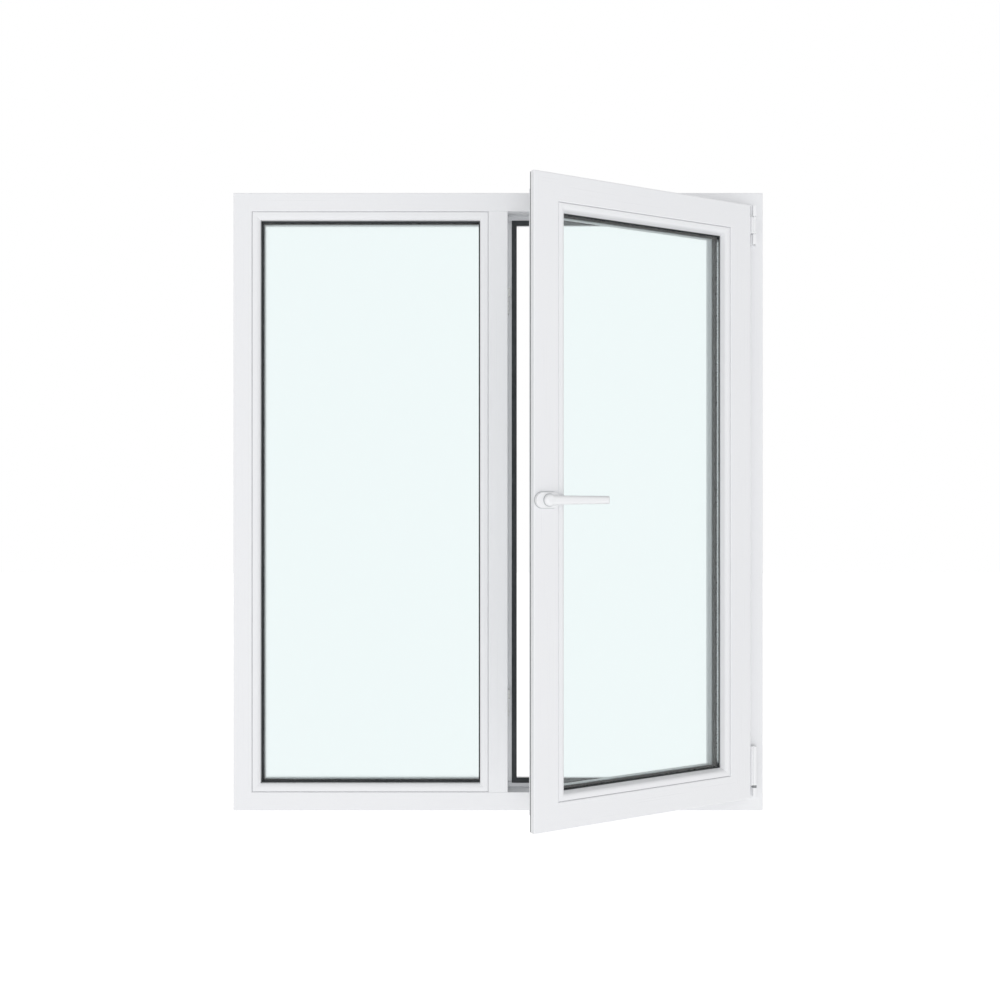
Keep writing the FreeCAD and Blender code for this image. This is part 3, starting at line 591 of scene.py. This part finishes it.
# %% Handle rim and guide ring, grey as painted shade
HANDLE_AXIS = Vector((42.5 * MM, -52 * MM, 704 * MM))
PLATE_LENGTH = 56 * MM
PLATE_WIDTH = 32 * MM
PLATE_THICKNESS = 10 * MM
RIM_WIDTH = 1.2 * MM
RIM_HEIGHT = 2.4 * MM
RING_INNER = 9.6 * MM
RING_OUTER = 13.5 * MM
RING_HEIGHT = 1.9 * MM
ROUND_STEPS = 48


def round_ended(length, width, height):
    """A flat piece with half-round ends, standing on the origin."""
    builder = bmesh.new()
    bmesh.ops.create_circle(builder, cap_ends=True, segments=ROUND_STEPS, radius=width / 2)
    half_step = Matrix.Rotation(math.pi / ROUND_STEPS, 3, "Z")
    bmesh.ops.rotate(builder, verts=builder.verts, matrix=half_step)
    reach = (length - width) / 2
    for side in (1, -1):
        half = [point for point in builder.verts if point.co.x * side > 0]
        bmesh.ops.translate(builder, verts=half, vec=(side * reach, 0, 0))
    top = bmesh.ops.extrude_face_region(builder, geom=builder.faces[:])
    raised = [part for part in top["geom"] if isinstance(part, bmesh.types.BMVert)]
    bmesh.ops.translate(builder, verts=raised, vec=(0, 0, height))
    return builder


def ring(inner, outer, height):
    """A round collar standing on the origin: its section is turned once about Z."""
    builder = bmesh.new()
    section = ((inner, 0, 0), (outer, 0, 0), (outer, 0, height), (inner, 0, height))
    corners = [builder.verts.new(corner) for corner in section]
    for first, second in zip(corners, corners[1:] + corners[:1]):
        builder.edges.new((first, second))
    bmesh.ops.spin(
        builder, geom=builder.verts[:] + builder.edges[:], axis=(0, 0, 1), cent=(0, 0, 0),
        angle=math.tau, steps=ROUND_STEPS, use_merge=True, use_duplicate=False,
    )
    return builder


# The rim's pale grey paints the shade round the foot of the handle's plate.
rim = round_ended(PLATE_LENGTH + 2 * RIM_WIDTH, PLATE_WIDTH + 2 * RIM_WIDTH, RIM_HEIGHT)
stand(rim, HANDLE_AXIS, INTO_ROOM)
make_piece("handle_shade_rim", rim, pale_plastic_and_shade_rims, on_sash=True)

# The ring's pale grey paints the shade round the foot of the grip.
guide_ring = ring(RING_INNER, RING_OUTER, RING_HEIGHT)
stand(guide_ring, HANDLE_AXIS + INTO_ROOM * PLATE_THICKNESS, INTO_ROOM)
make_piece("handle_foot_shade_ring", guide_ring, pale_plastic_and_shade_rims, on_sash=True)

# %% [markdown]
# ## Bush and pin ends of the hinges
# The sash weighs down on a plastic bush that sits round the pin between the two parts of the
# lower hinge. Its mid grey is partly the plastic's own and partly painted shade, standing in for
# the shade in that gap. The upper pin is held by its own flat ends. All of them lie on the hinge
# line, so they need no turning.

# %% Hinge bush and pin ends
BUSH_LOW = 57.5 * MM
BUSH_HEIGHT = 6 * MM
BUSH_INNER = 2.5 * MM
BUSH_OUTER = 5 * MM
UPPER_HINGE_TOP = 1366 * MM
UPPER_HINGE_FOOT = 1278 * MM
PIN_END_HEIGHT = 0.8 * MM
PIN_RADIUS = 2.6 * MM
PIN_TIP_RADIUS = 2.0 * MM

# The bush's mid grey paints the shade in the gap between the hinge's parts.
bush = ring(BUSH_INNER, BUSH_OUTER, BUSH_HEIGHT)
stand(bush, HINGE_LINE + UP * BUSH_LOW, UP)
make_piece("hinge_bush_and_gap_shade", bush, grey_plastic)

pin_ends = []
for height, outward in ((UPPER_HINGE_TOP, UP), (UPPER_HINGE_FOOT, -UP)):
    pin_end = bmesh.new()
    bmesh.ops.create_cone(
        pin_end, cap_ends=True, segments=32, radius1=PIN_RADIUS, radius2=PIN_TIP_RADIUS,
        depth=PIN_END_HEIGHT,
    )
    stand(pin_end, HINGE_LINE + UP * height + outward * PIN_END_HEIGHT / 2, outward)
    pin_ends.append(pin_end)
make_piece("hinge_pin_ends", join(pin_ends), steel)

# %% [markdown]
# ## Screws
# Strikers, lock rails and the stay arm are held by small countersunk screws with a cross recess.
# A screw head starts as a disc. Insets that also rise give it a soft dome, the points of its
# last inset are pulled in between four arms, and one more inset sinks the cross into the head.

# %% Screw heads
ARM_HALF_ANGLE = math.radians(20)
ARM_WAIST = 0.42


def screw(radius):
    """A low domed head with a cross recess, standing on the origin."""
    builder = bmesh.new()
    bmesh.ops.create_circle(builder, cap_ends=True, segments=24, radius=radius)
    top = bmesh.ops.extrude_face_region(builder, geom=builder.faces[:])["geom"]
    raised = [part for part in top if isinstance(part, bmesh.types.BMVert)]
    bmesh.ops.translate(builder, verts=raised, vec=(0, 0, 0.1 * radius))
    lid = next(part for part in top if isinstance(part, bmesh.types.BMFace))
    lid.normal_update()
    if lid.normal.z < 0:
        lid.normal_flip()

    def step_in(inwards, upwards):
        bmesh.ops.inset_region(
            builder, faces=[lid], thickness=inwards * radius, depth=upwards * radius,
            use_even_offset=True,
        )

    step_in(0.15, 0.12)
    step_in(0.25, 0.05)
    for point in lid.verts:
        bearing = math.atan2(point.co.y, point.co.x)
        from_arm = abs((bearing + math.pi / 4) % (math.pi / 2) - math.pi / 4)
        if from_arm > ARM_HALF_ANGLE:
            point.co.xy *= ARM_WAIST
    step_in(0.04, -0.24)
    return builder


def screws(name, places, radius, on_sash=False):
    """Screw heads at several places, each with the way it faces."""
    heads = []
    for spot, outward in places:
        head = screw(radius)
        stand(head, Vector(spot) * MM, outward)
        heads.append(head)
    return make_piece(name, join(heads), steel, on_sash)


# %% Screws of strikers, lock rails and stay arm
STRIKER_SCREW_RADIUS = 3 * MM
RAIL_SCREW_RADIUS = 3.2 * MM
STRIKER_PAIR = ((-22, -21), (-18, 20))
UPRIGHT_RAIL_LEVELS = (120, 340, 560, 840, 1060, 1280)
RAIL_MIDDLE = -24

striker_screws = [
    ((24, depth, level + along), RIGHT)
    for level in (243.5, 1156.5) for depth, along in STRIKER_PAIR
]
striker_screws += [((556, depth, 700 + along), -RIGHT) for depth, along in STRIKER_PAIR]
striker_screws += [
    ((223.5 + along, depth, level), outward)
    for level, outward in ((44, UP), (1356, -UP)) for depth, along in STRIKER_PAIR
]
screws("striker_screws", striker_screws, STRIKER_SCREW_RADIUS)

rail_screws = [((34.5, RAIL_MIDDLE, level), -RIGHT) for level in UPRIGHT_RAIL_LEVELS]
rail_screws += [((545.5, RAIL_MIDDLE, level), RIGHT) for level in UPRIGHT_RAIL_LEVELS]
rail_screws += [((along, RAIL_MIDDLE, 1345.5), UP) for along in (80, 150)]
rail_screws += [((along, RAIL_MIDDLE, 54.5), -UP) for along in (90, 160, 320, 420, 510)]
screws("lock_rail_screws", rail_screws, RAIL_SCREW_RADIUS, on_sash=True)

arm_screws = [((along, RAIL_MIDDLE, 1349), UP) for along in (275, 410, 525)]
screws("stay_arm_screws", arm_screws, RAIL_SCREW_RADIUS, on_sash=True)

# %% [markdown]
# ## Vents of the drainage caps, painted shade
# Rain that gets into the profile leaves through slots in its outside face. A cap covers each
# slot and lets the water out through a narrow vent near its lower edge. The vent is not cut: a
# thin dark plate, barely proud of the cap, paints the shade inside it.

# %% Painted shade of the vents in the outside caps
CAP_MIDDLE = 410 * MM
CAP_FACE = 39 * MM
VENT_LEVEL = 18.5 * MM
VENT_LENGTH = 26 * MM
VENT_WIDTH = 2 * MM
VENT_PROUD = 0.1 * MM

# Each vent is a dark plate that paints the shade inside an opening.
vents = []
for across in (-CAP_MIDDLE, CAP_MIDDLE):
    vent = round_ended(VENT_LENGTH, VENT_WIDTH, 2 * VENT_PROUD)
    stand(vent, Vector((across, CAP_FACE - VENT_PROUD, VENT_LEVEL)), OUTSIDE)
    vents.append(vent)
make_piece("drain_cap_vent_shade_plates", join(vents), vent_shade_paint)

# %% [markdown]
# ## Floor and surroundings
# The window hangs at the height of a real one, with its sill well above a pale floor. Floor and
# surroundings look white to the camera, in reflections and through the glass, but light the
# window with strengths of their own. Light Path tells the kinds of rays apart. To the camera the
# floor's glow is added to the light that falls on it, so that it still takes the window's shadow,
# and in glass and gloss the floor is as white as the surroundings, so that no horizon shows.

# %% Strength by kind of ray
SHOWN_RAYS = ("Is Camera Ray", "Is Glossy Ray", "Is Transmission Ray")


def by_ray(tree, lighting, shown):
    """One strength for rays that light the window, another for rays that show the surroundings."""
    path = add(tree, "ShaderNodeLightPath", {})
    seen = path.outputs[SHOWN_RAYS[0]]
    for kind in SHOWN_RAYS[1:]:
        pair = {0: seen, 1: path.outputs[kind]}
        seen = add(tree, "ShaderNodeMath", pair, operation="MAXIMUM").outputs[0]
    strength = {"Value": seen, "To Min": lighting, "To Max": shown}
    return add(tree, "ShaderNodeMapRange", strength).outputs["Result"]


# %% Pale floor
SILL_ABOVE_FLOOR = 0.9
FLOOR_SIZE = 40.0
FLOOR_LIGHT = 0.36
FLOOR_SHOWN = 0.65

floor_mesh = bpy.data.meshes.new("floor")
floor_builder = bmesh.new()
bmesh.ops.create_grid(floor_builder, x_segments=1, y_segments=1, size=FLOOR_SIZE / 2)
bmesh.ops.translate(floor_builder, verts=floor_builder.verts, vec=(0, 0, -SILL_ABOVE_FLOOR))
floor_builder.to_mesh(floor_mesh)
floor_builder.free()
floor = bpy.data.objects.new("floor", floor_mesh)
bpy.context.scene.collection.objects.link(floor)
floor_material, floor_tree, floor_shader, _ = start_material(
    "pale_matt_floor", Base_Color=linear("#E7E7E7"), Roughness=1.0, Emission_Color=(1, 1, 1, 1),
)
floor_tree.links.new(
    by_ray(floor_tree, FLOOR_LIGHT, FLOOR_SHOWN), floor_shader.inputs["Emission Strength"]
)
white = add(floor_tree, "ShaderNodeEmission", {"Color": (1, 1, 1, 1), "Strength": 1.0})
mirrored = add(floor_tree, "ShaderNodeLightPath", {})
through = {0: mirrored.outputs["Is Glossy Ray"], 1: mirrored.outputs["Is Transmission Ray"]}
share = add(floor_tree, "ShaderNodeMath", through, operation="MAXIMUM").outputs[0]
both = {0: share, 1: floor_shader.outputs[0], 2: white.outputs[0]}
floor_finish = add(floor_tree, "ShaderNodeMixShader", both)
floor_output = floor_tree.nodes["Material Output"]
floor_tree.links.new(floor_finish.outputs[0], floor_output.inputs["Surface"])
floor_mesh.materials.append(floor_material)
print("floor", SILL_ABOVE_FLOOR, "m under the sill")

# %% White surroundings
SKY_LIGHT = 0.57

world = bpy.data.worlds.new("studio")
bpy.context.scene.world = world
world.use_nodes = True
sky = world.node_tree
backdrop = sky.nodes["Background"]
backdrop.inputs["Color"].default_value = (1, 1, 1, 1)
sky.links.new(by_ray(sky, SKY_LIGHT, 1.0), backdrop.inputs["Strength"])
print("surroundings light with", SKY_LIGHT, "and show as 1")

# %% [markdown]
# ## Soft lamps
# A wide, far lamp near the camera's direction reaches the deep grooves round the opening light,
# and a weaker one at the left fills the edge of the open sash. Both are large, so their shadows
# are soft, and neither shows in the glass.

# %% Two soft lamps
MIDDLE = Vector((0.0, 0.0, 0.70))


def soft_lamp(name, place, width, height, watts):
    """A large lamp at a place, turned to the middle of the window."""
    lamp = bpy.data.lights.new(name, "AREA")
    lamp.shape = "RECTANGLE"
    lamp.size = width
    lamp.size_y = height
    lamp.energy = watts
    holder = bpy.data.objects.new(name, lamp)
    bpy.context.scene.collection.objects.link(holder)
    holder.location = place
    holder.rotation_euler = (MIDDLE - Vector(place)).to_track_quat("-Z", "Y").to_euler()
    holder.visible_glossy = False
    holder.visible_transmission = False
    print(name, "gives", watts, "W")


soft_lamp("front_lamp", (0.1, -6.0, 0.2), 2.2, 1.2, 88)
soft_lamp("left_lamp", (-4.0, -3.0, 0.3), 2.0, 2.0, 10)

# %% [markdown]
# ## Camera
# The picture was taken from straight in front. The distance follows from how much nearer the
# free edge of the open sash looks than its hinged edge, and the lens from the size of the frame.

# %% Camera where the picture was taken
CAMERA_PLACE = (0.00433, -2.3358, 0.70399)
LENS_MM = 36.56
SENSOR_MM = 36.0

camera_data = bpy.data.cameras.new("camera")
camera_data.lens = LENS_MM
camera_data.sensor_width = SENSOR_MM
camera = bpy.data.objects.new("camera", camera_data)
bpy.context.scene.collection.objects.link(camera)
camera.location = CAMERA_PLACE
camera.rotation_euler = (math.radians(90), 0, 0)
bpy.context.scene.camera = camera
bpy.context.scene.view_settings.view_transform = "Standard"
print("camera", -camera.location.y, "m in front of the window's middle")
